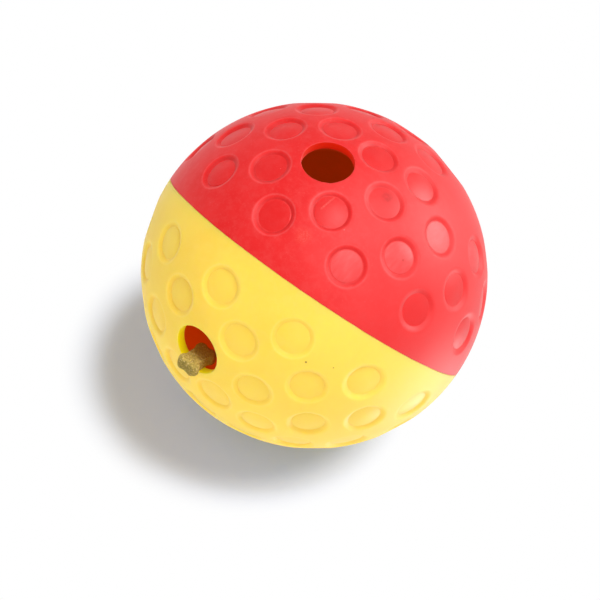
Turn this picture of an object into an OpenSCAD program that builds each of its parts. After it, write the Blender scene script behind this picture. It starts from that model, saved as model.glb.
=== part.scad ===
// Hollow treat dispensing ball: two dimpled rubber skins over a rigid lined core.
// The core is two cups with a labyrinth plate clamped between them.
// Lengths are in millimetres. The origin is the centre of the ball.
// +Z runs up the axis of the fill hole, and the treat hole faces -Y.

/* [Ball] */
// Outer radius of the rubber skins
ball_r = 66.5; // [61:0.5:75]
// Thickness of the rubber skins
skin_wall = 3.8; // [3.2:0.1:4.6]
// Thickness of the rigid inner cups
liner_wall = 2.2; // [1.9:0.1:3]
// Glue line between a skin and the cup inside it
bond_gap = 0.2; // [0.1:0.05:0.3]
// Turn of the yellow half against the red half, in degrees
yellow_turn = 1.2; // [-3:0.1:3]

/* [Holes] */
// Radius of the fill hole and the treat hole in the skins
hole_r = 10; // [8.5:0.25:12]
// How much wider in radius the holes in the inner cups are
liner_hole_margin = 2; // [0.5:0.25:4]

/* [Dimples] */
// Radius of a dimple where its bevel meets the ball's surface
dimple_rim_r = 8.1; // [7:0.1:8.4]
// Radius of a dimple's flat floor
dimple_floor_r = 6.3; // [5:0.1:6.7]
// Depth of the edge of a dimple's floor below the ball's surface
dimple_depth = 1.3; // [0.5:0.1:1.6]

/* [Labyrinth plate] */
// Thickness of the plate
plate_t = 2.4; // [1.6:0.1:4]
// How deep the plate's edge is let into the wall of the cups
plate_seat = 1.2; // [0.7:0.1:1.5]
// Clearance round the edge and the faces of the seated plate
plate_clearance = 0.1; // [0.05:0.05:0.3]
// Radius of the passage through the plate
passage_r = 13; // [10:0.5:16]
// Distance of the passage from the middle of the plate
passage_offset = 30; // [24:1:38]
// Height of the passage's collar above each face of the plate
collar_h = 5; // [2:0.5:9]
// Thickness of the collar
collar_wall = 2; // [1.4:0.1:3]

/* [Treat] */
// Length of the bone-shaped treat
treat_l = 14.5; // [12.5:0.5:17]
// Width of the treat over its two lobes
treat_w = 9.8; // [8.6:0.1:10.4]
// Thickness of the treat
treat_t = 6.2; // [5:0.1:7.8]
// Width of the treat at its waist
treat_waist = 7; // [5:0.1:7.8]
// Radius of each of the treat's four lobes
lobe_r = 2.7; // [2.3:0.05:3.1]
// Rounding of the treat's edges
treat_edge_r = 1.5; // [0.8:0.1:1.8]
// How far the treat's front end stands out past the rim of the treat hole
treat_reach = 6; // [3:0.5:7]
// Clearance between the treat and the wall of the hole it lies in
treat_gap = 0.3; // [0.2:0.05:0.6]

/* [Hidden] */
$fn = 96;

// Latitude of the row of dimples in which each half has its hole, in degrees from the seam
hole_lat = 40.5;
// Rows of dimples from the seam to the pole: latitude, count and first longitude in degrees
dimple_rows = [
    [14.5, 12, 0],
    [26.5, 12, 15],
    [hole_lat, 12, 0],
    [55.5, 12, 15],
    [72.7, 6, 0],
    [90, 1, 0]
];
// Longitudes in the upper rows of the red half that a bare patch takes, in degrees
bare_lat = 55.5;
bare_lons = [75, 105];

// Latitude in the smooth band between the seam and the first row of dimples
smooth_lat = 4;

// How far a cut runs past the surface that it goes through
overrun = 3;
// How far a dimple's bevel runs past the surface
bevel_overrun = 0.15;
// Steps in each rounded edge of the treat
edge_steps = 4;

skin_inner_r = ball_r - skin_wall;
liner_outer_r = skin_inner_r - bond_gap;
liner_inner_r = liner_outer_r - liner_wall;
liner_hole_r = hole_r + liner_hole_margin;
plate_seat_r = liner_inner_r + plate_seat;
plate_r = plate_seat_r - plate_clearance;

// Heights, measured from the ball's centre along a dimple's axis
dimple_floor_h = sqrt(pow(ball_r, 2) - pow(dimple_floor_r, 2)) - dimple_depth;
dimple_rim_h = sqrt(pow(ball_r, 2) - pow(dimple_rim_r, 2));
// Run of the dimple's bevel, outwards for each unit of height
dimple_bevel_slope = (dimple_rim_r - dimple_floor_r) / (dimple_rim_h - dimple_floor_h);

// Height of a hole's rim, measured from the ball's centre along the hole's axis
hole_rim_h = sqrt(pow(ball_r, 2) - pow(hole_r, 2));
// Offsets of the lobes from the middle of the treat, and the drop of its underside below the
// axis of the hole, where its rounded edges lie clear of the round wall
lobe_x = treat_l / 2 - lobe_r;
lobe_y = treat_w / 2 - lobe_r;
treat_edge_y = treat_w / 2 - treat_edge_r;
treat_edge_drop = sqrt(pow(hole_r - treat_gap - treat_edge_r, 2) - pow(treat_edge_y, 2));
treat_drop = treat_edge_drop + treat_edge_r;
treat_middle_h = hole_rim_h + treat_reach - treat_l / 2;

// The seam's frame has its Z axis through the red pole and longitude 0 through the fill hole
module seam_frame() {
    rotate([hole_lat - 90, 0, 0])
        rotate([0, 0, -90])
            children();
}

// The yellow half's frame is the red one's mirror image, turned a little about the poles
module yellow_frame() {
    seam_frame()
        rotate([0, 0, -yellow_turn])
            children();
}

// Stands children on the ball's centre with Z towards a latitude and a longitude
module towards(lat, lon) {
    rotate([0, 90 - lat, lon])
        children();
}

// Half of a hollow ball, its rim on the seam's plane. The spheres' own poles are turned down
// into the smooth band beside the seam, clear of every dimple.
module half_ball(outer_r, inner_r) {
    difference() {
        rotate([0, 90 - smooth_lat, 0])
            sphere(r = outer_r);
        rotate([0, 90 - smooth_lat, 0])
            sphere(r = inner_r);
        translate([0, 0, -outer_r])
            cube([2 * outer_r + overrun, 2 * outer_r + overrun, 2 * outer_r], center = true);
    }
}

// The cut of one dimple: a flat floor, a bevel that opens to the surface, and a straight
// side above it that stays clear of the next dimple
module dimple_cut() {
    rotate_extrude()
        polygon([
            [0, dimple_floor_h],
            [dimple_floor_r, dimple_floor_h],
            [dimple_rim_r + bevel_overrun, dimple_rim_h + bevel_overrun / dimple_bevel_slope],
            [dimple_rim_r + bevel_overrun, ball_r + overrun],
            [0, ball_r + overrun]
        ]);
}

function is_hole(lat, lon) = lat == hole_lat && lon == 0;
function is_bare(lat, lon) = lat == bare_lat && len(search(lon, bare_lons)) > 0;

// All dimples of one half; bare_patch leaves out those where the red half is smooth
module dimple_field(bare_patch) {
    for (row = dimple_rows, k = [0 : row[1] - 1]) {
        lat = row[0];
        lon = row[2] + k * 360 / row[1];
        if (!is_hole(lat, lon) && !(bare_patch && is_bare(lat, lon)))
            towards(lat, lon)
                dimple_cut();
    }
}

// A rubber skin in its own half's frame, pole up
module skin(bare_patch) {
    difference() {
        half_ball(ball_r, skin_inner_r);
        dimple_field(bare_patch);
        towards(hole_lat, 0)
            cylinder(h = ball_r + overrun, r = hole_r);
    }
}

// A rigid cup in its own half's frame, with its hole and the seat for the plate's edge
module liner_cup() {
    difference() {
        half_ball(liner_outer_r, liner_inner_r);
        towards(hole_lat, 0)
            cylinder(h = ball_r + overrun, r = liner_hole_r);
        cylinder(h = plate_t + 2 * plate_clearance, r = plate_seat_r, center = true);
    }
}

module red_outer_shell() {
    color("crimson")
        seam_frame()
            skin(true);
}

module yellow_outer_shell() {
    color("gold")
        yellow_frame()
            mirror([0, 0, 1])
                skin(false);
}

module inner_shell_upper() {
    color("firebrick")
        seam_frame()
            liner_cup();
}

module inner_shell_lower() {
    color("firebrick")
        yellow_frame()
            mirror([0, 0, 1])
                liner_cup();
}

// The partition between the two chambers, with one passage away from both holes
module labyrinth_plate() {
    color("red")
        seam_frame()
            difference() {
                union() {
                    cylinder(h = plate_t, r = plate_r, center = true);
                    translate([-passage_offset, 0, 0])
                        cylinder(
                            h = plate_t + 2 * collar_h,
                            r = passage_r + collar_wall,
                            center = true
                        );
                }
                translate([-passage_offset, 0, 0])
                    cylinder(h = plate_t + 2 * (collar_h + overrun), r = passage_r, center = true);
            }
}

// Points of a quarter of a circle, anticlockwise from an angle
function quarter_arc(x, y, r, start) = [
    for (i = [0 : edge_steps])
        [x + r * cos(start + 90 * i / edge_steps), y + r * sin(start + 90 * i / edge_steps)]
];

// One lobe of the treat, a round puck with rounded edges
module treat_lobe() {
    rotate_extrude()
        polygon(concat(
            [[0, 0]],
            quarter_arc(lobe_r - treat_edge_r, treat_edge_r, treat_edge_r, -90),
            quarter_arc(lobe_r - treat_edge_r, treat_t - treat_edge_r, treat_edge_r, 0),
            [[0, treat_t]]
        ));
}

// The treat lying flat along X, its underside on the XY plane
module flat_treat() {
    for (x = [-lobe_x, lobe_x], y = [-lobe_y, lobe_y])
        translate([x, y, 0])
            treat_lobe();
    translate([-lobe_x, -treat_waist / 2, treat_edge_r / 2])
        cube([2 * lobe_x, treat_waist, treat_t - treat_edge_r]);
}

// The treat lies in the treat hole along its axis, on the low side of its wall
module treat() {
    color("darkkhaki")
        yellow_frame()
            towards(-hole_lat, 0)
                translate([treat_drop, 0, treat_middle_h])
                    rotate([0, -90, 0])
                        flat_treat();
}

red_outer_shell();
yellow_outer_shell();
inner_shell_upper();
inner_shell_lower();
labyrinth_plate();
treat();
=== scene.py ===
"""Treat dispensing ball: dimpled rubber skins over a lined core, a treat in its treat hole."""

import math
import random

import bmesh
import bpy
from bpy.props import FloatProperty, FloatVectorProperty, PointerProperty
from mathutils import Matrix, Vector, noise


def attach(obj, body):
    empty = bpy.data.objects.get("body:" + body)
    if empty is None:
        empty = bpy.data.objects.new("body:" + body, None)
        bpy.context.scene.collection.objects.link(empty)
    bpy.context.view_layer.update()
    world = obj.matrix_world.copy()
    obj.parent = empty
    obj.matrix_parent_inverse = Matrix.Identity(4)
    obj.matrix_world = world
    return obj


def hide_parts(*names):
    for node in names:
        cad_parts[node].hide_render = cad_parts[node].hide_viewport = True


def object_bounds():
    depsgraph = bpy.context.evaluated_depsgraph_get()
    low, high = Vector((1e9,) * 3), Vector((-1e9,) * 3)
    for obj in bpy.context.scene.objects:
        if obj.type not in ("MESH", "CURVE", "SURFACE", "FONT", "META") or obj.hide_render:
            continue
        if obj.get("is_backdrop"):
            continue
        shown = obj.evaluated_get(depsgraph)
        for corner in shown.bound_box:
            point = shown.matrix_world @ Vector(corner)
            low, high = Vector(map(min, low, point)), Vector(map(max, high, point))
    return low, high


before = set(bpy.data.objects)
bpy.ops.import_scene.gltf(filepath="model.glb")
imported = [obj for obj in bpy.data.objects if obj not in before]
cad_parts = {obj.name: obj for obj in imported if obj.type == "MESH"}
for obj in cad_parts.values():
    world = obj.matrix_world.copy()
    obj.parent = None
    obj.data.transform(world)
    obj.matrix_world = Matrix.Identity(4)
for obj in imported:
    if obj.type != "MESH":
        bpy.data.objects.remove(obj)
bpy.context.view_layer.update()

bl_info = {
    "name": "Treat dispensing ball",
    "version": (1, 0, 0),
    "blender": (4, 5, 0),
    "location": "View3D > Sidebar > Treat ball",
    "description": "Builds a dimpled rubber treat ball on its packed frame",
    "category": "Mesh",
}

MM = 0.001
WHITE = (1, 1, 1, 1)

BALL_RADIUS = 66.5 * MM
# Distance from the ball's centre at which the floors of the dimples lie
DIMPLE_FLOORS = 65.4 * MM
# Latitude, in degrees from the seam, of the row of dimples in which each half has its hole
HOLE_LATITUDE = 40.5
# Rows of dimples from the seam to the pole: latitude, count and first longitude in degrees
DIMPLE_ROWS = (
    (14.5, 12, 0),
    (26.5, 12, 15),
    (HOLE_LATITUDE, 12, 0),
    (55.5, 12, 15),
    (72.7, 6, 0),
    (90, 1, 0),
)
# Places in the red half that have no dimple
BARE_PLACES = ((55.5, 75), (55.5, 105))
# Side of the ball towards which both rubbers are painted a little paler: a painted sheen where the
# light washes over them
PAINTED_SHEEN_SIDE = (0.885, 0.391, -0.184)
# Dimples of the red half with a rubbed, paler floor
RUBBED_PLACES = ((14.5, 30), (26.5, 45), (HOLE_LATITUDE, 60), (HOLE_LATITUDE, 90))

# Where the treat lies, seen along the treat hole: how far its underside is below the hole's
# axis, and how far its middle is from the ball's centre
TREAT_DROP = 8.96 * MM
TREAT_MIDDLE = 64.49 * MM

# Names of the pieces that lie inside the ball or reach into it
INSIDE = ("inner_shell", "labyrinth_plate", "baked_treat")

# Distance of the lamps and of the camera from the ball's centre, in metres
LAMP_DISTANCE = 1.6
CAMERA_DISTANCE = 1.33
# How far the camera stands to the left of the ball's centre and below it, in its own view
CAMERA_LEFT = 5.43 * MM
CAMERA_DOWN = 9.38 * MM
# Focal length of the camera in millimetres, on a sensor 36 mm wide
FOCAL_LENGTH = 207.9


class BallSizes(bpy.types.PropertyGroup):
    """Sizes of the two rubber skins."""

    radius: FloatProperty(
        name="Ball radius",
        description="Outer radius of the rubber skins",
        default=BALL_RADIUS,
        subtype="DISTANCE",
    )
    wall: FloatProperty(
        name="Skin wall",
        description="Thickness of the rubber skins",
        default=3.8 * MM,
        subtype="DISTANCE",
    )
    hole: FloatProperty(
        name="Hole radius",
        description="Radius of the fill hole and the treat hole",
        default=10 * MM,
        subtype="DISTANCE",
    )
    hole_edge: FloatProperty(
        name="Hole edge",
        description="Rounding of the rim of each hole",
        default=0.25 * MM,
        subtype="DISTANCE",
    )
    rim: FloatProperty(
        name="Dimple rim radius",
        description="Radius at which a dimple's bevel meets the ball's surface",
        default=8.1 * MM,
        subtype="DISTANCE",
    )
    rim_edge: FloatProperty(
        name="Dimple rim rounding",
        description="Half the width of the soft edge where the bevel meets the ball's surface",
        default=0.8 * MM,
        subtype="DISTANCE",
    )
    floor: FloatProperty(
        name="Dimple floor radius",
        description="Radius of a dimple's floor",
        default=6.3 * MM,
        subtype="DISTANCE",
    )
    crease: FloatProperty(
        name="Dimple crease",
        description="Half the width of the crease between the bevel and the floor",
        default=0.22 * MM,
        subtype="DISTANCE",
    )
    depth: FloatProperty(
        name="Dimple depth",
        description="Depth of the edge of a dimple's floor below the ball's surface",
        default=1.3 * MM,
        subtype="DISTANCE",
    )
    dome: FloatProperty(
        name="Floor dome",
        description="How far the middle of a dimple's floor usually stands above its edge",
        default=0.7 * MM,
        subtype="DISTANCE",
    )
    lip: FloatProperty(
        name="Floor lip",
        description="Height of the small step at the edge of a dimple's floor",
        default=0.07 * MM,
        subtype="DISTANCE",
    )
    seam_edge: FloatProperty(
        name="Seam edge",
        description="Rounding of each half's edge at the seam",
        default=0.25 * MM,
        subtype="DISTANCE",
    )
    seam_wander: FloatProperty(
        name="Seam wander",
        description="How far the seam strays from its plane",
        default=0.12 * MM,
        subtype="DISTANCE",
    )
    yellow_turn: FloatProperty(
        name="Turn of the yellow half",
        description="How far the yellow half is turned against the red half",
        default=math.radians(1.2),
        subtype="ANGLE",
    )


class TreatSizes(bpy.types.PropertyGroup):
    """Sizes of the bone-shaped treat."""

    length: FloatProperty(
        name="Length",
        description="Length of the treat",
        default=14.5 * MM,
        subtype="DISTANCE",
    )
    width: FloatProperty(
        name="Width",
        description="Width of the treat over its two lobes",
        default=9.8 * MM,
        subtype="DISTANCE",
    )
    thickness: FloatProperty(
        name="Thickness",
        description="Thickness of the treat",
        default=6.2 * MM,
        subtype="DISTANCE",
    )
    waist: FloatProperty(
        name="Waist",
        description="Width of the treat at its waist",
        default=7 * MM,
        subtype="DISTANCE",
    )
    lobe: FloatProperty(
        name="Lobe radius",
        description="Radius of each of the four lobes",
        default=2.7 * MM,
        subtype="DISTANCE",
    )
    grain: FloatProperty(
        name="Grain height",
        description="How far the baked grain stands out",
        default=0.16 * MM,
        subtype="DISTANCE",
    )
    cell: FloatProperty(
        name="Grain cell",
        description="Size of the cells that the treat's surface is made of",
        default=0.17 * MM,
        subtype="DISTANCE",
    )


class BallColours(bpy.types.PropertyGroup):
    """Colours of the ball, the treat and the floor."""

    red: FloatVectorProperty(
        name="Red rubber",
        description="Colour of the red skin",
        default=(0.71, 0.011, 0.011),
        subtype="COLOR",
    )
    yellow: FloatVectorProperty(
        name="Yellow rubber",
        description="Colour of the yellow skin",
        default=(1.0, 0.645, 0.08),
        subtype="COLOR",
    )
    lining: FloatVectorProperty(
        name="Lining",
        description="Colour of the cups and the labyrinth plate",
        default=(0.72, 0.035, 0.004),
        subtype="COLOR",
    )
    treat: FloatVectorProperty(
        name="Treat",
        description="Colour of the baked treat",
        default=(0.6, 0.43, 0.1),
        subtype="COLOR",
    )
    floor: FloatVectorProperty(
        name="Floor",
        description="Colour of the floor",
        default=(0.86, 0.86, 0.86),
        subtype="COLOR",
    )


class Amount:
    """A number that changes over a surface. Arithmetic on it adds Math nodes to its finish."""

    def __init__(self, finish, socket):
        self.finish = finish
        self.socket = socket

    def __add__(self, other):
        return self.finish.math("ADD", self, other)

    def __radd__(self, other):
        return self.finish.math("ADD", other, self)

    def __sub__(self, other):
        return self.finish.math("SUBTRACT", self, other)

    def __rsub__(self, other):
        return self.finish.math("SUBTRACT", other, self)

    def __mul__(self, other):
        return self.finish.math("MULTIPLY", self, other)

    def __rmul__(self, other):
        return self.finish.math("MULTIPLY", other, self)

    def __truediv__(self, other):
        return self.finish.math("DIVIDE", self, other)

    def between(self, low, high):
        """0 below low and 1 above high, or the other way round where low is the greater."""
        made = self.finish.node(
            "ShaderNodeMapRange",
            {"interpolation_type": "SMOOTHSTEP"},
            {"Value": self, "From Min": low, "From Max": high, "To Min": 0.0, "To Max": 1.0},
        )
        return Amount(self.finish, made.outputs["Result"])


class Finish:
    """The nodes of a material, or of the surround. Patterns lie on a piece's own coordinates."""

    def __init__(self, owner):
        self.owner = owner
        owner.use_nodes = True
        self.tree = owner.node_tree
        self.tree.nodes.clear()
        self.place = self.node("ShaderNodeTexCoord").outputs["Object"]

    def node(self, kind, settings=None, values=None):
        """Adds a node, sets its settings and then the values or links of its sockets."""
        made = self.tree.nodes.new(kind)
        for name, setting in (settings or {}).items():
            setattr(made, name, setting)
        for name, value in (values or {}).items():
            socket = made.inputs[name]
            if isinstance(value, Amount):
                value = value.socket
            if isinstance(value, bpy.types.NodeSocket):
                self.tree.links.new(value, socket)
            else:
                socket.default_value = value
        return made

    def math(self, operation, first, second):
        """One Math node on two numbers."""
        made = self.node("ShaderNodeMath", {"operation": operation}, {0: first, 1: second})
        return Amount(self, made.outputs[0])

    def moved(self, shift, stretch=(1, 1, 1)):
        """The piece's own coordinates, stretched and shifted."""
        made = self.node(
            "ShaderNodeMapping", None, {"Vector": self.place, "Location": shift, "Scale": stretch}
        )
        return made.outputs["Vector"]

    def noise(self, size, detail=3.0, roughness=0.5, stretch=(1, 1, 1), shift=(0, 0, 0)):
        """Cloudy noise from 0 to 1, its features about that size in metres."""
        made = self.node(
            "ShaderNodeTexNoise",
            None,
            {
                "Vector": self.moved(shift, stretch),
                "Scale": 1 / size,
                "Detail": detail,
                "Roughness": roughness,
            },
        )
        return Amount(self, made.outputs["Fac"])

    def cells(self, size, shift=(0, 0, 0)):
        """Distance to the nearest of scattered points, and a random number for each point."""
        made = self.node(
            "ShaderNodeTexVoronoi", None, {"Vector": self.moved(shift), "Scale": 1 / size}
        )
        drawn = self.node("ShaderNodeSeparateColor", None, {"Color": made.outputs["Color"]})
        return Amount(self, made.outputs["Distance"]), Amount(self, drawn.outputs["Red"])

    def specks(self, size, share, spread, shift=(0, 0, 0)):
        """Small round specks on that share of the cells, spread as a share of a cell."""
        distance, draw = self.cells(size, shift)
        return distance.between(spread, spread * 0.45) * draw.between(share + 0.004, share)

    def attribute(self, name):
        """A number that the piece carries at each of its vertices."""
        made = self.node("ShaderNodeAttribute", {"attribute_name": name})
        return Amount(self, made.outputs["Fac"])

    def vectors(self, operation, values):
        """The outputs of one Vector Math node."""
        return self.node("ShaderNodeVectorMath", {"operation": operation}, values).outputs

    def on_sphere(self, radius):
        """The place moved straight out from the ball's centre to that radius."""
        spoke = self.vectors("NORMALIZE", {0: self.place})["Vector"]
        return self.vectors("SCALE", {0: spoke, "Scale": radius})["Vector"]

    def reach(self, point, place=None):
        """Distance in metres of a place from a point on the piece."""
        gap = self.vectors("DISTANCE", {0: place or self.place, 1: point})["Value"]
        return Amount(self, gap)

    def along(self, axis):
        """How far a place lies along an axis, as a share of the ball's radius."""
        dot = self.vectors("DOT_PRODUCT", {0: self.place, 1: axis})["Value"]
        return Amount(self, dot) / BALL_RADIUS

    def stroke(self, start, end, place):
        """Distance in metres of a place from a straight scratch between two points."""
        along = end - start
        offset = self.vectors("SUBTRACT", {0: place, 1: start})["Vector"]
        dot = self.vectors("DOT_PRODUCT", {0: offset, 1: along / along.length_squared})["Value"]
        share = self.node("ShaderNodeClamp", None, {"Value": dot}).outputs["Result"]
        foot = self.vectors("SCALE", {0: along, "Scale": share})["Vector"]
        gap = self.vectors("DISTANCE", {0: offset, 1: foot})["Value"]
        return Amount(self, gap)

    def mix(self, factor, first, second):
        """One colour passing into another by a factor from 0 to 1."""
        # The node's colour sockets share their names with others, so they go by number
        values = {0: factor, 6: colour4(first), 7: colour4(second)}
        return self.node("ShaderNodeMix", {"data_type": "RGBA"}, values).outputs[2]

    def bump(self, height, metres, under=None):
        """Raises the surface by a number from 0 to 1 times a height, over a bump under it."""
        values = {"Height": height, "Distance": metres, "Strength": 1.0}
        if under is not None:
            values["Normal"] = under
        return self.node("ShaderNodeBump", None, values).outputs["Normal"]

    def surface(self, values):
        """Ends the material with a Principled shader and returns the material."""
        shader = self.node("ShaderNodeBsdfPrincipled", None, values)
        self.node("ShaderNodeOutputMaterial", None, {"Surface": shader.outputs["BSDF"]})
        return self.owner

    def blend(self, factor, first, second):
        """One shader passing into another by a factor from 0 to 1."""
        made = self.node("ShaderNodeMixShader", None, {0: factor, 1: first, 2: second})
        return made.outputs["Shader"]

    def seen(self):
        """1 where the camera sees it, straight or in a gloss or through glass."""
        path = self.node("ShaderNodeLightPath")
        seen = Amount(self, path.outputs["Is Camera Ray"])
        for name in ("Is Glossy Ray", "Is Transmission Ray"):
            seen = self.math("MAXIMUM", seen, Amount(self, path.outputs[name]))
        return seen


def colour4(value):
    """A colour for a colour socket: a link stays, and three numbers get an alpha of 1."""
    if isinstance(value, bpy.types.NodeSocket):
        return value
    return (value[0], value[1], value[2], 1.0)


def shade_of(colour, brightness, paleness=0.0):
    """A colour made brighter or darker, and then paler."""
    return tuple(min(1.0, c * brightness) * (1 - paleness) + paleness for c in colour)


def direction(latitude, longitude):
    """Unit vector in a half's own frame, where its pole is +Z and longitude 0 is +X."""
    lat = math.radians(latitude)
    lon = math.radians(longitude)
    return Vector((math.cos(lat) * math.cos(lon), math.cos(lat) * math.sin(lon), math.sin(lat)))


def seam_frame():
    """From the seam's frame, with the red pole on +Z, to the ball's frame."""
    lean = Matrix.Rotation(math.radians(HOLE_LATITUDE - 90), 4, "X")
    return lean @ Matrix.Rotation(math.radians(-90), 4, "Z")


def yellow_frame(sizes):
    """The seam's frame turned with the yellow half."""
    return seam_frame() @ Matrix.Rotation(-sizes.yellow_turn, 4, "Z")


def spot(latitude, longitude, radius):
    """A point of the ball at that radius, its latitude counted from the seam."""
    return (seam_frame() @ (direction(latitude, longitude) * radius)).xyz


def rounding(start, corner, end, steps):
    """Points of a rounding from start to end, round a corner, with the start left out."""
    points = []
    for step in range(1, steps + 1):
        t = step / steps
        points.append(
            tuple(
                (1 - t) ** 2 * a + 2 * t * (1 - t) * b + t ** 2 * c
                for a, b, c in zip(start, corner, end)
            )
        )
    return points


class Round:
    """A dimple or a hole: its axis in the half's own frame and the face that is worked on."""

    def __init__(self, axis, face):
        self.axis = axis
        side = Vector((0, 0, 1)) if abs(axis.z) < 0.99 else Vector((1, 0, 0))
        self.east = side.cross(axis).normalized()
        self.north = axis.cross(self.east)
        self.face = face

    def angles(self):
        """Angle round the axis of each corner of the face."""
        corners = [loop.vert.co for loop in self.face.loops]
        return [math.atan2(co.dot(self.north), co.dot(self.east)) for co in corners]

    def point(self, radius, height, angle):
        """A point at a radius from the axis and a height from the ball's centre."""
        spoke = self.east * math.cos(angle) + self.north * math.sin(angle)
        return self.axis * height + spoke * radius


def sphere_height(ball, radius):
    """Height of the ball's surface at a radius from an axis through its centre."""
    return math.sqrt(ball ** 2 - radius ** 2)


def each_once(found):
    """A list of these, each once. It keeps their order, which a set would shuffle in each run."""
    return list(dict.fromkeys(found))


def sliced(bm, faces, slack, point, normal, **cleared):
    """Cuts these faces along a plane. A corner within the slack of it is taken to be on it."""
    edges = each_once(edge for face in faces for edge in face.edges)
    verts = each_once(vert for face in faces for vert in face.verts)
    return bmesh.ops.bisect_plane(
        bm,
        geom=verts + edges + faces,
        dist=slack,
        plane_co=point,
        plane_no=normal,
        **cleared,
    )


def verts_in(geometry):
    """The vertices in an operator's mixed list."""
    return [each for each in geometry if isinstance(each, bmesh.types.BMVert)]


def to_circle(verts, radius, height):
    """Moves vertices in or out to a circle round Z at that height."""
    for vert in verts:
        flat = Vector((vert.co.x, vert.co.y, 0)).normalized() * radius
        vert.co = flat + Vector((0, 0, height))


def dish(bm, radius, fineness, edge_height):
    """Adds half a sphere down to a height above the seam's plane, and returns its edge.

    The sphere is tilted, so that its own even pattern doesn't line up with the seam."""
    tilt = Matrix.Rotation(0.31, 4, Vector((0.4, 0.7, 0.2)).normalized())
    made = bmesh.ops.create_icosphere(bm, subdivisions=fineness, radius=radius, matrix=tilt)
    faces = each_once(face for vert in made["verts"] for face in vert.link_faces)
    cut = sliced(bm, faces, 0.2 * MM, (0, 0, edge_height), (0, 0, 1), clear_inner=True)
    rim = verts_in(cut["geom_cut"])
    to_circle(rim, sphere_height(radius, edge_height), edge_height)
    return open_edges(rim)


def open_edges(verts):
    """The edges at these vertices that have a face on one side only."""
    return each_once(edge for vert in verts for edge in vert.link_edges if edge.is_boundary)


def cut_round(bm, axis, radius, ball):
    """Cuts a circle out of the ball's surface, leaves it as one flat face and returns it.

    Corners that crowd on the circle are merged, so that its rings stay even."""
    height = sphere_height(ball, radius)
    near = ball * math.cos(1.3 * math.asin(radius / ball))
    close = [vert for vert in bm.verts if vert.co.dot(axis) > near]
    faces = each_once(face for vert in close for face in vert.link_faces)
    cut = sliced(bm, faces, 0.03 * MM, axis * height, axis)
    above = [
        each
        for each in cut["geom"]
        if isinstance(each, bmesh.types.BMFace) and each.calc_center_median().dot(axis) > height
    ]
    made = bmesh.ops.dissolve_faces(bm, faces=above, use_verts=False)["region"][0]
    place = Round(axis, made)
    for loop, angle in zip(made.loops, place.angles()):
        loop.vert.co = place.point(radius, height, angle)
    ring = list(made.verts)
    bmesh.ops.remove_doubles(bm, verts=ring, dist=0.42 * MM)
    kept = [vert for vert in ring if vert.is_valid]
    place.face = max(kept[0].link_faces, key=lambda face: len(face.verts))
    return place


def work_rings(bm, places, profiles, layers):
    """Insets the face of each place ring by ring, and puts each ring where its profile says.

    A profile's stop is a function of the angle that gives radius, height, a number for rims and
    creases (paler rims above 0, painted shade in bevels and creases below 0) and floor.
    How far the inset itself goes doesn't matter."""
    for step in range(len(profiles[0])):
        angles = [place.angles() for place in places]
        bmesh.ops.inset_individual(
            bm, faces=[place.face for place in places], thickness=0.02 * MM, depth=0
        )
        for place, profile, turn in zip(places, profiles, angles):
            for loop, angle in zip(place.face.loops, turn):
                radius, height, wear, floor = profile[step](angle)
                loop.vert.co = place.point(radius, height, angle)
                loop.vert[layers[0]] = wear
                loop.vert[layers[1]] = floor


def dimple_profile(sizes, dice, rubbed):
    """The rings of one dimple: a soft rim, a bevel, a crease and a floor of its own shape."""
    ball = sizes.radius
    rim = sizes.rim + dice.uniform(-0.1, 0.1) * MM
    floor = sizes.floor + dice.uniform(-0.12, 0.12) * MM
    depth = sizes.depth * dice.uniform(0.88, 1.08)
    low = sphere_height(ball, floor) - depth
    high = sphere_height(ball, rim)
    fall = (high - low) / (rim - floor)
    dome = sizes.dome * dice.uniform(0.6, 1.3)
    lip = sizes.lip * dice.uniform(0.3, 1.5)
    lean = math.radians(dice.uniform(0, 2.6))
    lean_to = dice.uniform(0, math.tau)
    wave = dice.uniform(0, math.tau)
    uneven = dice.uniform(0.02, 0.09) * MM
    tone = dice.random()

    def bevel_height(radius):
        return high - (rim - radius) * fall

    def floor_height(radius):
        return low + lip + dome * (1 - (radius / floor) ** 2)

    wide = rim + sizes.rim_edge
    narrow = rim - sizes.rim_edge
    outer = floor + sizes.crease
    inner = floor - sizes.crease
    shoulder = (narrow, bevel_height(narrow))
    top = rounding((wide, sphere_height(ball, wide)), (rim, high), shoulder, 4)
    crease = rounding((outer, bevel_height(outer)), (floor, low), (inner, floor_height(inner)), 3)
    # Radius, height, paleness of the rims (above 0) and painted shade in the bevel and crease
    # (below 0), and floor of each ring
    stops = [(r, h, w, 0.0) for (r, h), w in zip(top, (0.4, 1.0, 0.2, -0.5))]
    stops += [(r, bevel_height(r), -1.0, 0.0) for r in ((narrow + outer) / 2, outer)]
    stops += [(r, h, w, f) for (r, h), w, f in zip(crease, (-0.5, 0.2, 0.5), (0.2, 0.7, 1.0))]
    shade = 2.0 if rubbed else 0.75 + 0.5 * tone
    for share in (0.94, 0.8, 0.62, 0.42, 0.2):
        stops.append((share * floor, floor_height(share * floor), 0.0, shade))

    def stop(radius, height, wear, on_floor):
        def at(angle):
            wobble = uneven * math.sin(2 * angle + wave) * min(1.0, on_floor + 0.3)
            tip = math.tan(lean) * radius * math.cos(angle - lean_to) * min(1.0, on_floor)
            return radius + wobble * radius / floor, height + tip, wear, on_floor

        return at

    return [stop(*each) for each in stops]


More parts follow.
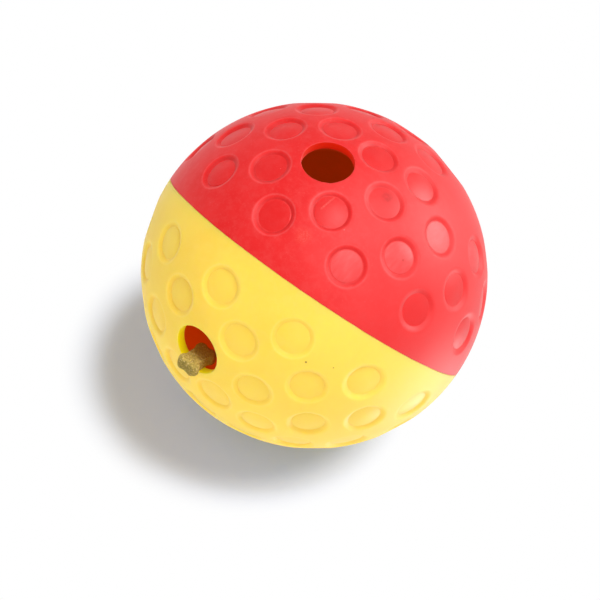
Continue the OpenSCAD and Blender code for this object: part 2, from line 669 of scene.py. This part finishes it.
def hole_profile(sizes, nick):
    """The rings of a hole: a rounded rim with a nick and a smaller one, and a wall to the inside.

    nick is the angle at which it lies and its depth."""
    ball = sizes.radius
    hole = sizes.hole
    edge = sizes.hole_edge
    high = sphere_height(ball, hole)
    low = sphere_height(ball - sizes.wall, hole)
    wide = hole + edge
    top = rounding((wide, sphere_height(ball, wide)), (hole, high), (hole, high - edge), 5)
    # Radius, height and rim paleness of each ring
    rings = [(r, h, w) for (r, h), w in zip(top, (0.5, 1.0, 1.0, 0.7, 0.3))]
    for share in (0.2, 0.3, 0.45, 0.6, 0.8, 0.94):
        rings.append((hole, high + (low - high) * share, 0.0))
    where, bite = nick
    # The nicks fade out this far down the wall
    fade = 1.4 * MM

    def stop(radius, height, wear):
        def at(angle):
            away = math.remainder(angle - where, math.tau)
            shallow = max(0.0, 1 - (high - height) / fade)
            cut = bite * shallow * math.exp(-(away / 0.05) ** 2)
            cut += 0.45 * bite * shallow * math.exp(-((away - 0.13) / 0.035) ** 2)
            rough = 0.03 * MM * noise.noise(Vector((6 * angle, 900 * height, bite)))
            return radius + cut + rough, height - 0.3 * cut, wear, wear - 1

        return at

    return [stop(*each) for each in rings]


def bridge_to_lining_side(bm, hole, sizes, inner_edge):
    """Cuts the hole in the skin's inner face, and joins it to the bottom of the hole's wall."""
    rim = list(hole.face.verts)
    bmesh.ops.delete(bm, geom=[hole.face], context="FACES_ONLY")
    wall_edges = open_edges(rim)
    inner = sizes.radius - sizes.wall
    wide = sizes.hole + 0.15 * MM
    height = sphere_height(inner, wide)
    faces = island(vert for edge in inner_edge for vert in edge.verts)
    cut = sliced(bm, faces, 0.03 * MM, hole.axis * height, hole.axis, clear_outer=True)
    ring = verts_in(cut["geom_cut"])
    for vert in ring:
        angle = math.atan2(vert.co.dot(hole.north), vert.co.dot(hole.east))
        vert.co = hole.point(wide, height, angle)
    bmesh.ops.bridge_loops(bm, edges=wall_edges + open_edges(ring))


def island(start):
    """The faces that hang together with these vertices."""
    front = each_once(start)
    seen = set(front)
    found = {}
    while front:
        for face in front.pop().link_faces:
            if face not in found:
                found[face] = True
                fresh = [vert for vert in face.verts if vert not in seen]
                seen.update(fresh)
                front += fresh
    return list(found)


def seam_rings(bm, edge_loop, sizes, gap):
    """Rounds a half's edge at the seam with rings below its lowest one."""
    ball = sizes.radius
    edge = sizes.seam_edge
    start = (sphere_height(ball, edge), edge)
    for radius, height in rounding(start, (ball, gap), (ball - edge, gap), 5):
        verts = verts_in(bmesh.ops.extrude_edge_only(bm, edges=edge_loop)["geom"])
        to_circle(verts, radius, height)
        edge_loop = open_edges(verts)


def wander(longitude, sizes):
    """How far the seam strays from its plane towards the red pole, at a red longitude."""
    around = Vector((math.cos(longitude), math.sin(longitude), 0.3))
    long_wave = noise.noise(3.1 * around)
    short_wave = noise.noise(17 * around)
    return sizes.seam_wander * (long_wave + 0.55 * short_wave)


def skin_mesh(sizes, bare, rubbed, dice, nick, flipped):
    """A half of the rubber shell in its own frame, as a bmesh."""
    bm = bmesh.new()
    layers = [bm.verts.layers.float.new(name) for name in ("wear", "floor")]
    gap = 0.01 * MM
    outer_edge = dish(bm, sizes.radius, 7, sizes.seam_edge)
    inner_edge = dish(bm, sizes.radius - sizes.wall, 6, gap)
    seam_rings(bm, outer_edge, sizes, gap)

    dimples = []
    profiles = []
    for latitude, count, first in DIMPLE_ROWS:
        for k in range(count):
            longitude = first + k * 360 / count
            is_hole = latitude == HOLE_LATITUDE and longitude == 0
            if is_hole or (latitude, longitude) in bare:
                continue
            axis = direction(latitude, longitude)
            dimples.append(cut_round(bm, axis, sizes.rim + sizes.rim_edge, sizes.radius))
            profiles.append(dimple_profile(sizes, dice, (latitude, longitude) in rubbed))
    axis = direction(HOLE_LATITUDE, 0)
    hole = cut_round(bm, axis, sizes.hole + sizes.hole_edge, sizes.radius)
    work_rings(bm, dimples, profiles, layers)
    bmesh.ops.poke(bm, faces=[dimple.face for dimple in dimples])
    work_rings(bm, [hole], [hole_profile(sizes, nick)], layers)

    bridge_to_lining_side(bm, hole, sizes, inner_edge)
    # Only the skin's two rims at the seam are still open
    bmesh.ops.bridge_loops(bm, edges=[edge for edge in bm.edges if edge.is_boundary])

    near_seam = 3 * MM
    for vert in bm.verts:
        if vert.co.z < near_seam:
            longitude = math.atan2(vert.co.y, vert.co.x)
            if flipped:
                stray = -wander(longitude - sizes.yellow_turn, sizes)
            else:
                stray = wander(longitude, sizes)
            vert.co.z += stray * (1 - vert.co.z / near_seam) ** 2
    return bm


def add_piece(name, bm, place, body, material):
    """Makes a bmesh a piece of the object, in its place, riding on a body."""
    bmesh.ops.transform(bm, matrix=place, verts=bm.verts)
    bmesh.ops.recalc_face_normals(bm, faces=bm.faces)
    for face in bm.faces:
        face.smooth = True
    for edge in bm.edges:
        edge.smooth = edge.calc_face_angle(0) < math.radians(40)
    mesh = bpy.data.meshes.new(name)
    bm.to_mesh(mesh)
    bm.free()
    mesh.materials.append(material)
    piece = bpy.data.objects.new(name, mesh)
    bpy.context.scene.collection.objects.link(piece)
    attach(piece, body)
    return piece


def rubber(name, colour, flaws, side_sheen, softness, tone, bore_with_painted_bounce, glow):
    """Soft matte moulded rubber: clouded colour, dusty rims that also carry a painted highlight,
    painted shade in the dimples' bevels, creases and floors, a painted sheen on one side, fine
    skin texture and specks.

    side_sheen is how pale the painted sheen makes that side, softness how far red, green and
    blue light spread in it, and tone the strength of the painted shade in the dimples.
    bore_with_painted_bounce is its colour in the wall of the hole, brighter than the rubber:
    painted light that stands in for light bounced inside the hole. glow is a painted glow there
    that stands in for light that comes through the rubber."""
    finish = Finish(bpy.data.materials.new(name))
    sheen_side_tint = shade_of(colour, 1.0, side_sheen)
    wear = finish.attribute("wear")
    floor = finish.attribute("floor")
    clouds = finish.noise(24 * MM, 4.0, 0.55)
    mottle = finish.noise(3.2 * MM, 5.0, 0.65, shift=(1, 2, 3))
    dust = finish.noise(0.9 * MM, 3.0, 0.6, shift=(4, 0, 1))
    dull, bright = shade_of(colour, 0.97), shade_of(colour, 1.02, 0.01)
    tint = finish.mix(clouds.between(0.35, 0.65), dull, bright)
    tint = finish.mix(mottle.between(0.4, 0.7) * 0.5, tint, shade_of(colour, 1.0, 0.03))
    # Dust, and paler rims: partly the rubber's own dust on the rims, partly a painted highlight
    # where the rims catch the light
    dust_and_rim_highlight = wear.between(0.0, 1.0) * (mottle + 0.2) * 0.25 + dust.between(0.55, 0.8) * 0.12
    tint = finish.mix(dust_and_rim_highlight, tint, shade_of(colour, 1.0, 0.2))
    # Painted shade: darker in the dimples' bevels and creases
    tint = finish.mix(wear.between(0.0, -1.0) * tone, tint, shade_of(colour, 0.75))
    # Painted sheen: paler towards one side of the ball
    tint = finish.mix(finish.along(PAINTED_SHEEN_SIDE).between(-0.3, 1.0), tint, sheen_side_tint)
    # Painted shade: darker dimple floors, each by its own random amount
    tint = finish.mix(floor.between(0.5, 1.2) * tone, tint, shade_of(colour, 0.9))
    streaks = finish.noise(1.2 * MM, 3.0, 0.5, stretch=(1, 0.3, 0.4), shift=(3, 3, 0))
    rubbed = floor.between(1.2, 2.0) * (0.55 + (clouds + streaks).between(0.8, 1.25) * 0.45)
    tint = finish.mix(rubbed, tint, shade_of(colour, 1.0, 0.05))
    relief = mottle
    for mask, paint in flaws(finish):
        tint = finish.mix(mask, tint, paint)
        relief = relief - mask * 0.1
    skin = finish.noise(0.55 * MM, 2.0, 0.5, shift=(7, 7, 0))
    pits, draw = finish.cells(3.2 * MM, shift=(2, 5, 1))
    pitted = pits.between(0.1, 0.03) * draw.between(0.18, 0.15)
    low = finish.bump(relief, 0.035 * MM)
    high = finish.bump(skin - pitted * 2, 0.016 * MM, under=low)
    # The wall of each hole: a brighter colour, painted light that stands in for light bounced
    # inside the hole, and a painted glow that stands in for light coming through the rubber
    bore_wall = floor.between(0.0, -1.0)
    tint = finish.mix(bore_wall, tint, bore_with_painted_bounce)
    rough = 0.54 + (clouds - 0.5) * 0.1 + dust_and_rim_highlight * 0.3 - floor.between(0.0, 1.0) * 0.1
    return finish.surface(
        {
            "Base Color": tint,
            "Roughness": rough,
            "Normal": high,
            "IOR": 1.45,
            "Specular IOR Level": 0.23,
            "Sheen Weight": 0.1,
            "Sheen Roughness": 0.4,
            "Subsurface Weight": 1.0 - 1.5 * tone,
            "Subsurface Radius": softness,
            "Subsurface Scale": 1.0,
            # Painted glow in the wall of each hole
            "Emission Color": finish.mix(bore_wall, (0, 0, 0), glow),
            "Emission Strength": 1.0,
        }
    )


def red_flaws(finish):
    """The red half's flaws, each a mask and a colour: a scratch, a chalky place, a dark mottle,
    a pit, and pale and dark specks."""
    place = finish.on_sphere(DIMPLE_FLOORS)
    start = spot(25.4, 11.5, DIMPLE_FLOORS)
    end = spot(31.2, 12.5, DIMPLE_FLOORS)
    scratch = finish.stroke(start, end, place)
    mottle = finish.reach(spot(42.8, 30.0, DIMPLE_FLOORS), place)
    pit = finish.reach(spot(26.3, 46.6, DIMPLE_FLOORS), place)
    chalk = finish.reach(spot(14.5, 12.6, DIMPLE_FLOORS), place)
    chalky = finish.noise(0.5 * MM, 3.0, 0.6, shift=(2, 2, 7)).between(0.5, 0.6)
    spotty = finish.noise(1.8 * MM, 2.0, 0.5, shift=(3, 1, 8)).between(0.3, 0.7)
    return (
        (scratch.between(0.5 * MM, 0.1 * MM) * (chalky + 0.6) * 0.2, (1.0, 0.25, 0.2)),
        (chalk.between(4.5 * MM, 0.5 * MM) * (chalky + 0.3) * 0.15, (1.0, 0.3, 0.2)),
        (mottle.between(3.4 * MM, 0.6 * MM) * (spotty + 0.4) * 0.5, (0.45, 0.0, 0.0)),
        (pit.between(0.7 * MM, 0.2 * MM) * 0.5, (0.4, 0.0, 0.0)),
        (finish.specks(7 * MM, 0.12, 0.03, shift=(9, 2, 4)) * 0.6, (1.0, 0.5, 0.48)),
        (finish.specks(13 * MM, 0.12, 0.022, shift=(1, 8, 4)) * 0.6, (0.45, 0.01, 0.02)),
    )


def yellow_flaws(finish):
    """The yellow half's flaws, each a mask and a colour: a few tiny dark specks."""
    larger = finish.reach(spot(-18.8, 37.1, BALL_RADIUS))
    smaller = finish.reach(spot(-15.4, 45.8, BALL_RADIUS))
    return (
        (larger.between(0.5 * MM, 0.3 * MM) * 0.85, (0.22, 0.11, 0.02)),
        (smaller.between(0.4 * MM, 0.2 * MM) * 0.7, (0.4, 0.2, 0.03)),
        (finish.specks(11 * MM, 0.1, 0.026, shift=(5, 3, 6)) * 0.8, (0.3, 0.15, 0.02)),
        (finish.specks(9 * MM, 0.05, 0.03, shift=(0, 6, 2)) * 0.6, (0.62, 0.36, 0.03)),
    )


def lining_plastic(name, colour, glow):
    """Matte moulded plastic of the cups and the plate, with a painted glow that stands in for light
    coming through the rubber.
    """
    finish = Finish(bpy.data.materials.new(name))
    clouds = finish.noise(16 * MM, 4.0, 0.55)
    flow = finish.noise(3 * MM, 4.0, 0.6, stretch=(1, 0.25, 1), shift=(2, 2, 5))
    crumbs = finish.specks(5 * MM, 0.16, 0.1, shift=(3, 7, 1))
    tint = finish.mix(clouds.between(0.3, 0.7), shade_of(colour, 0.9), shade_of(colour, 1.08))
    tint = finish.mix(crumbs * 0.5, tint, (0.4, 0.25, 0.08))
    grain = finish.noise(0.5 * MM, 2.0, 0.5, shift=(1, 1, 6))
    normal = finish.bump(flow, 0.08 * MM)
    normal = finish.bump(grain, 0.012 * MM, under=normal)
    rough = 0.48 + (flow - 0.5) * 0.2
    return finish.surface(
        {
            "Base Color": tint,
            "Roughness": rough,
            "Normal": normal,
            # Painted glow, standing in for light that comes through the rubber
            "Emission Color": (1.0, 0.12, 0.0, 1.0),
            "Emission Strength": glow,
        }
    )


def biscuit(name, colour):
    """Dry baked biscuit: crumbly two-tone grain, bran flecks and open pores."""
    finish = Finish(bpy.data.materials.new(name))
    crumb = finish.noise(0.9 * MM, 5.0, 0.65)
    patch = finish.noise(4 * MM, 3.0, 0.5, shift=(2, 1, 0))
    pores, draw = finish.cells(0.75 * MM, shift=(0, 4, 4))
    pore = pores.between(0.32, 0.1) * draw.between(0.55, 0.45)
    bran = finish.specks(0.9 * MM, 0.22, 0.34, shift=(6, 1, 3))
    tint = finish.mix(crumb.between(0.35, 0.7), shade_of(colour, 0.75), shade_of(colour, 1.3, 0.02))
    tint = finish.mix(patch.between(0.4, 0.7) * 0.4, tint, shade_of(colour, 0.8))
    grit, shade = finish.cells(0.6 * MM, shift=(8, 1, 1))
    tint = finish.mix(shade.between(0.2, 0.8) * 0.5, tint, shade_of(colour, 0.72))
    pale = grit.between(0.42, 0.3) * shade.between(0.35, 0.2)
    tint = finish.mix(pale * 0.7, tint, (0.82, 0.64, 0.3))
    tint = finish.mix(bran * 0.6, tint, (0.2, 0.1, 0.025))
    tint = finish.mix(pore * 0.6, tint, shade_of(colour, 0.4))
    # Painted shade: the part of the treat that lies inside the ball, in the shade of the hole,
    # turns dark brown
    painted_shade_inside = finish.reach(Vector((0, 0, 0))).between(67 * MM, 61 * MM)
    tint = finish.mix(painted_shade_inside * 0.65, tint, (0.34, 0.15, 0.0))
    normal = finish.bump(crumb * 0.7 - grit * 0.5 - pore * 0.8, 0.3 * MM)
    rough = 0.82 + (crumb - 0.5) * 0.2
    return finish.surface(
        {"Base Color": tint, "Roughness": rough, "Normal": normal, "Specular IOR Level": 0.05}
    )


def treat_mesh(sizes, dice):
    """The bone-shaped treat lying flat along X on the XY plane, its outer end at +X.

    Each end has two lobes and a filler between them, and the inner end is a little thinner."""
    bm = bmesh.new()
    skin = sizes.grain
    tall = sizes.thickness - 2 * skin
    middle = Matrix.Translation((0, 0, sizes.thickness / 2))
    reach_x = sizes.length / 2 - sizes.lobe
    reach_y = sizes.width / 2 - sizes.lobe
    for x in (-reach_x, reach_x):
        for y in (-reach_y, reach_y):
            fuller = dice.uniform(0.97, 1.0)
            puck = Matrix.Translation((x, y, 0)) @ middle
            round_over(bm, puck, (sizes.lobe - skin) * fuller, tall * (1.0 if x > 0 else 0.97))
        end = Matrix.Translation((x * 0.94, 0, 0)) @ middle
        round_over(bm, end, sizes.lobe * 0.88, tall * (1.0 if x > 0 else 0.95))
    bar = middle @ Matrix.Diagonal((2 * reach_x, sizes.waist - 2 * skin, tall * 0.9, 1))
    bmesh.ops.create_cube(bm, size=1, matrix=bar)
    merged = remeshed(bm, sizes.cell)
    for _ in range(10):
        bmesh.ops.smooth_vert(
            merged,
            verts=merged.verts,
            factor=0.5,
            use_axis_x=True,
            use_axis_y=True,
            use_axis_z=True,
        )
    merged.normal_update()
    shift = Vector((dice.uniform(0, 9), dice.uniform(0, 9), dice.uniform(0, 9)))
    for vert in merged.verts:
        at = vert.co / MM + shift
        flat = abs(vert.normal.z) ** 2
        coarse = noise.fractal(at * 0.4, 1.0, 2.0, 3)
        fine = noise.fractal(at * 1.9, 0.9, 2.1, 3)
        vert.co += vert.normal * sizes.grain * (0.8 * coarse + (0.3 + 0.7 * flat) * fine)
    return merged


def round_over(bm, place, radius, height):
    """Adds a round puck whose top and bottom edges are well rounded."""
    bend = min(0.7 * radius, 0.4 * height)
    puck = bmesh.ops.create_cone(
        bm, cap_ends=True, segments=48, radius1=radius, radius2=radius, depth=height, matrix=place
    )
    edges = each_once(edge for vert in puck["verts"] for edge in vert.link_edges)
    rims = [each for each in edges if any(len(face.verts) > 4 for face in each.link_faces)]
    bmesh.ops.bevel(
        bm,
        geom=rims,
        offset=bend,
        segments=6,
        profile=0.5,
        affect="EDGES",
        material=-1,
    )


def remeshed(bm, cell):
    """One closed skin over loose overlapping shapes, made of cells of that size."""
    mesh = bpy.data.meshes.new("shape")
    bm.to_mesh(mesh)
    bm.free()
    holder = bpy.data.objects.new("shape", mesh)
    bpy.context.scene.collection.objects.link(holder)
    modifier = holder.modifiers.new("skin", "REMESH")
    modifier.mode = "VOXEL"
    modifier.voxel_size = cell
    bpy.context.view_layer.update()
    ready = holder.evaluated_get(bpy.context.evaluated_depsgraph_get())
    merged = bmesh.new()
    merged.from_mesh(ready.to_mesh())
    ready.to_mesh_clear()
    bpy.data.objects.remove(holder)
    bpy.data.meshes.remove(mesh)
    return merged


class MakeRedSkin(bpy.types.Operator):
    """Builds the dimpled red rubber half with the fill hole"""

    bl_idname = "treat_ball.red_skin"
    bl_label = "Red skin"

    def execute(self, context):
        sizes = context.scene.ball_sizes
        bm = skin_mesh(
            sizes,
            bare=BARE_PLACES,
            rubbed=RUBBED_PLACES,
            dice=random.Random(11),
            nick=(-0.75, 0.35 * MM),
            flipped=False,
        )
        finish = rubber(
            "red_rubber",
            context.scene.ball_colours.red,
            flaws=red_flaws,
            side_sheen=0.015,
            softness=(2.2 * MM, 0.35 * MM, 0.3 * MM),
            tone=0.45,
            # The hole's wall: a brighter colour and a glow, both painted light
            bore_with_painted_bounce=(0.85, 0.014, 0.0),
            glow=(0.15, 0.005, 0.0),
        )
        piece = add_piece("red_skin", bm, seam_frame(), "ball", finish)
        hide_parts("red_outer_shell")
        return {"FINISHED"}


class MakeYellowSkin(bpy.types.Operator):
    """Builds the dimpled yellow rubber half with the treat hole"""

    bl_idname = "treat_ball.yellow_skin"
    bl_label = "Yellow skin"

    def execute(self, context):
        sizes = context.scene.ball_sizes
        bm = skin_mesh(
            sizes, bare=(), rubbed=(), dice=random.Random(23), nick=(2.6, 0.3 * MM), flipped=True
        )
        place = yellow_frame(sizes) @ Matrix.Diagonal((1, 1, -1, 1))
        finish = rubber(
            "yellow_rubber",
            context.scene.ball_colours.yellow,
            flaws=yellow_flaws,
            side_sheen=0.03,
            softness=(4.5 * MM, 3.6 * MM, 1.2 * MM),
            tone=0.12,
            # The hole's wall: a brighter colour and a glow, both painted light
            bore_with_painted_bounce=(1.0, 0.72, 0.0),
            glow=(0.12, 0.14, 0.0),
        )
        piece = add_piece("yellow_skin", bm, place, "ball", finish)
        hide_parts("yellow_outer_shell")
        return {"FINISHED"}


class FinishLining(bpy.types.Operator):
    """Gives the two cups and the labyrinth plate their moulded plastic"""

    bl_idname = "treat_ball.lining"
    bl_label = "Lining and plate"

    def execute(self, context):
        colour = context.scene.ball_colours.lining
        # The cups carry a painted glow that stands in for light coming through the rubber; the
        # lower cup, seen through the treat hole, glows more
        for node, name, shade, glow in (
            ("inner_shell_upper", "upper_plastic", colour, 0.085),
            ("inner_shell_lower", "lower_plastic", colour, 0.17),
            ("labyrinth_plate", "plate_plastic", shade_of(colour, 0.95), 0.0),
        ):
            material = lining_plastic(name, shade, glow)
            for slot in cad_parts[node].material_slots:
                slot.material = material
        return {"FINISHED"}


class MakeTreat(bpy.types.Operator):
    """Builds the baked treat that lies in the treat hole"""

    bl_idname = "treat_ball.treat"
    bl_label = "Treat"

    def execute(self, context):
        treat = context.scene.treat_sizes
        ball = context.scene.ball_sizes
        bm = treat_mesh(treat, random.Random(5))
        hole = yellow_frame(ball) @ Matrix.Rotation(math.radians(90 + HOLE_LATITUDE), 4, "Y")
        along = Matrix.Rotation(math.radians(-90), 4, "Y")
        lying = Matrix.Translation((TREAT_DROP, 0, TREAT_MIDDLE)) @ along
        finish = biscuit("treat_biscuit", context.scene.ball_colours.treat)
        piece = add_piece("baked_treat", bm, hole @ lying, "treat", finish)
        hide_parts("treat")
        return {"FINISHED"}


class MakeStage(bpy.types.Operator):
    """Sets up the floor, the light and the camera"""

    bl_idname = "treat_ball.stage"
    bl_label = "Floor, light and camera"

    def execute(self, context):
        floor = self.make_floor(context)
        self.make_world(context)
        self.make_lamps(context, floor)
        self.make_camera(context)
        context.scene.view_settings.view_transform = "Standard"
        return {"FINISHED"}

    def make_floor(self, context):
        """A wide pale floor under the lowest point of the ball, clear when seen from below."""
        bm = bmesh.new()
        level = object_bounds()[0][2]
        bmesh.ops.create_grid(
            bm, x_segments=1, y_segments=1, size=3, matrix=Matrix.Translation((0, 0, level))
        )
        mesh = bpy.data.meshes.new("floor")
        bm.to_mesh(mesh)
        bm.free()
        floor = bpy.data.objects.new("floor", mesh)
        context.scene.collection.objects.link(floor)
        floor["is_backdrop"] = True
        mesh.materials.append(self.floor_finish(level, context.scene.ball_colours.floor))
        return floor

    def floor_finish(self, level, colour):
        """White where it is seen beyond a disc round the ball's shadow, so that the shadow's outer
        edge is painted, and a matt shade within the disc.

        The shade that is seen takes out the light that the ball's colours throw on the floor."""
        finish = Finish(bpy.data.materials.new("floor"))
        seen = finish.seen()
        shadow = finish.reach(Vector((-21 * MM, -14.5 * MM, level)))
        ball = finish.reach(Vector((10 * MM, 0, level)))
        near, far = (0.69, 0.985, 2.03), (0.89, 0.99, 1.23)
        shade = finish.mix(ball.between(90 * MM, 25 * MM), far, near)
        tint = finish.mix(seen, colour, shade)
        matt = finish.node("ShaderNodeBsdfDiffuse", None, {"Color": tint}).outputs["BSDF"]
        white = finish.node("ShaderNodeEmission", None, {"Color": WHITE, "Strength": 1.0})
        # Painted shadow edge: from 48 to 72 mm away from the middle of the shadow the floor turns
        # to plain white, whatever the lamps give
        white_beyond_shadow = seen * shadow.between(48 * MM, 72 * MM)
        above = finish.blend(white_beyond_shadow, matt, white.outputs["Emission"])
        under = Amount(finish, finish.node("ShaderNodeNewGeometry").outputs["Backfacing"])
        clear = finish.node("ShaderNodeBsdfTransparent").outputs["BSDF"]
        sided = finish.blend(seen * under, above, clear)
        finish.node("ShaderNodeOutputMaterial", None, {"Surface": sided})
        return finish.owner

    def make_world(self, context):
        """An even pale surround, white where it is seen."""
        world = bpy.data.worlds.new("surround")
        context.scene.world = world
        finish = Finish(world)
        soft = finish.node("ShaderNodeBackground", None, {"Color": WHITE, "Strength": 0.4})
        plain = finish.node("ShaderNodeBackground", None, {"Color": WHITE, "Strength": 1.0})
        mixed = finish.blend(
            finish.seen(), soft.outputs["Background"], plain.outputs["Background"]
        )
        finish.node("ShaderNodeOutputWorld", None, {"Surface": mixed})

    def make_lamps(self, context, floor):
        """Soft lamps around the ball. Only the one above reaches the floor, and those at the
        front leave the inside of the ball in shade."""
        meshes = [piece for piece in context.scene.objects if piece.type == "MESH"]
        inside = [piece for piece in meshes if piece.name.startswith(INSIDE)]
        beside = self.left_out("off_the_floor", [floor])
        shade = self.left_out("off_the_floor_and_inside", [floor, *inside])
        right, up, towards = camera_axes()
        # Name, direction from the ball, width in metres, strength, the pieces that it leaves
        # out, and whether it gives colour, gloss or both
        for name, aim, size, share, out, works in (
            ("above", Vector((0.257, 0.2, 0.945)), 0.7, 0.8, None, "both"),
            ("front", right * 0.55 - up * 0.35 + towards * 0.75, 1.0, 0.2, shade, "colour"),
            ("left", towards * 0.4 - right * 0.9 + up * 0.05, 1.2, 0.3, shade, "colour"),
            ("low", towards * 0.45 - up * 0.85 - right * 0.1, 1.2, 0.24, shade, "colour"),
            ("right", right * 0.95 + up * 0.3, 1.0, 0.1, beside, "colour"),
            ("front gloss", right * 0.3 + up * 0.1 + towards * 0.95, 1.3, 0.7, beside, "gloss"),
            ("right gloss", right * 0.85 + up * 0.35 + towards * 0.05, 1.0, 1.5, beside, "gloss"),
            ("low gloss", right * 0.55 - up * 0.55 - towards * 0.45, 1.0, 0.75, beside, "gloss"),
        ):
            aim = aim.normalized()
            lamp = bpy.data.lights.new(name, "AREA")
            lamp.shape = "DISK"
            lamp.size = size
            lamp.energy = share * (math.pi * LAMP_DISTANCE) ** 2
            turn = aim.to_track_quat("Z", "Y").to_matrix().to_4x4()
            holder = bpy.data.objects.new(name, lamp)
            holder.matrix_world = Matrix.Translation(aim * LAMP_DISTANCE) @ turn
            context.scene.collection.objects.link(holder)
            holder.visible_glossy = works != "colour"
            holder.visible_diffuse = works != "gloss"
            if out is not None:
                holder.light_linking.receiver_collection = out
                holder.light_linking.blocker_collection = out

    def left_out(self, name, pieces):
        """A group of pieces that a lamp doesn't reach."""
        group = bpy.data.collections.new(name)
        for piece in pieces:
            group.objects.link(piece)
        for each in group.collection_objects:
            each.light_linking.link_state = "EXCLUDE"
        return group

    def make_camera(self, context):
        """A long lens that looks down on the ball from the front and its right."""
        right, up, towards = camera_axes()
        place = towards * CAMERA_DISTANCE - right * CAMERA_LEFT - up * CAMERA_DOWN
        turn = Matrix((right, up, towards)).transposed().to_4x4()
        lens = bpy.data.cameras.new("camera")
        lens.lens = FOCAL_LENGTH
        lens.sensor_width = 36
        lens.clip_start = 0.05
        lens.clip_end = 20
        camera = bpy.data.objects.new("camera", lens)
        camera.matrix_world = Matrix.Translation(place) @ turn
        context.scene.collection.objects.link(camera)
        context.scene.camera = camera


def camera_axes():
    """Unit vectors to the right, upwards and towards the camera."""
    towards = Vector((0.385, -0.506, 0.772)).normalized()
    right = Vector((0.735, 0.674, 0.076))
    right = (right - towards * right.dot(towards)).normalized()
    return right, towards.cross(right), towards


class TreatBallPanel(bpy.types.Panel):
    """Lists the steps that build the ball"""

    bl_idname = "VIEW3D_PT_treat_ball"
    bl_label = "Treat ball"
    bl_space_type = "VIEW_3D"
    bl_region_type = "UI"
    bl_category = "Treat ball"

    def draw(self, context):
        scene = context.scene
        for step in STEPS:
            self.layout.operator(step.bl_idname)
        for group in (scene.ball_sizes, scene.treat_sizes, scene.ball_colours):
            box = self.layout.box()
            for name in group.__annotations__:
                box.prop(group, name)


STEPS = (MakeRedSkin, MakeYellowSkin, FinishLining, MakeTreat, MakeStage)
CLASSES = (BallSizes, TreatSizes, BallColours, *STEPS, TreatBallPanel)


def register():
    """Gives Blender the classes, and its scenes the sizes and colours."""
    for each in CLASSES:
        bpy.utils.register_class(each)
    bpy.types.Scene.ball_sizes = PointerProperty(type=BallSizes)
    bpy.types.Scene.treat_sizes = PointerProperty(type=TreatSizes)
    bpy.types.Scene.ball_colours = PointerProperty(type=BallColours)


def unregister():
    """Takes back what register gave."""
    del bpy.types.Scene.ball_colours
    del bpy.types.Scene.treat_sizes
    del bpy.types.Scene.ball_sizes
    for each in reversed(CLASSES):
        bpy.utils.unregister_class(each)


def main():
    """Builds every piece and the stage."""
    register()
    bpy.ops.treat_ball.red_skin()
    bpy.ops.treat_ball.yellow_skin()
    bpy.ops.treat_ball.lining()
    bpy.ops.treat_ball.treat()
    bpy.ops.treat_ball.stage()


if __name__ == "__main__":
    main()
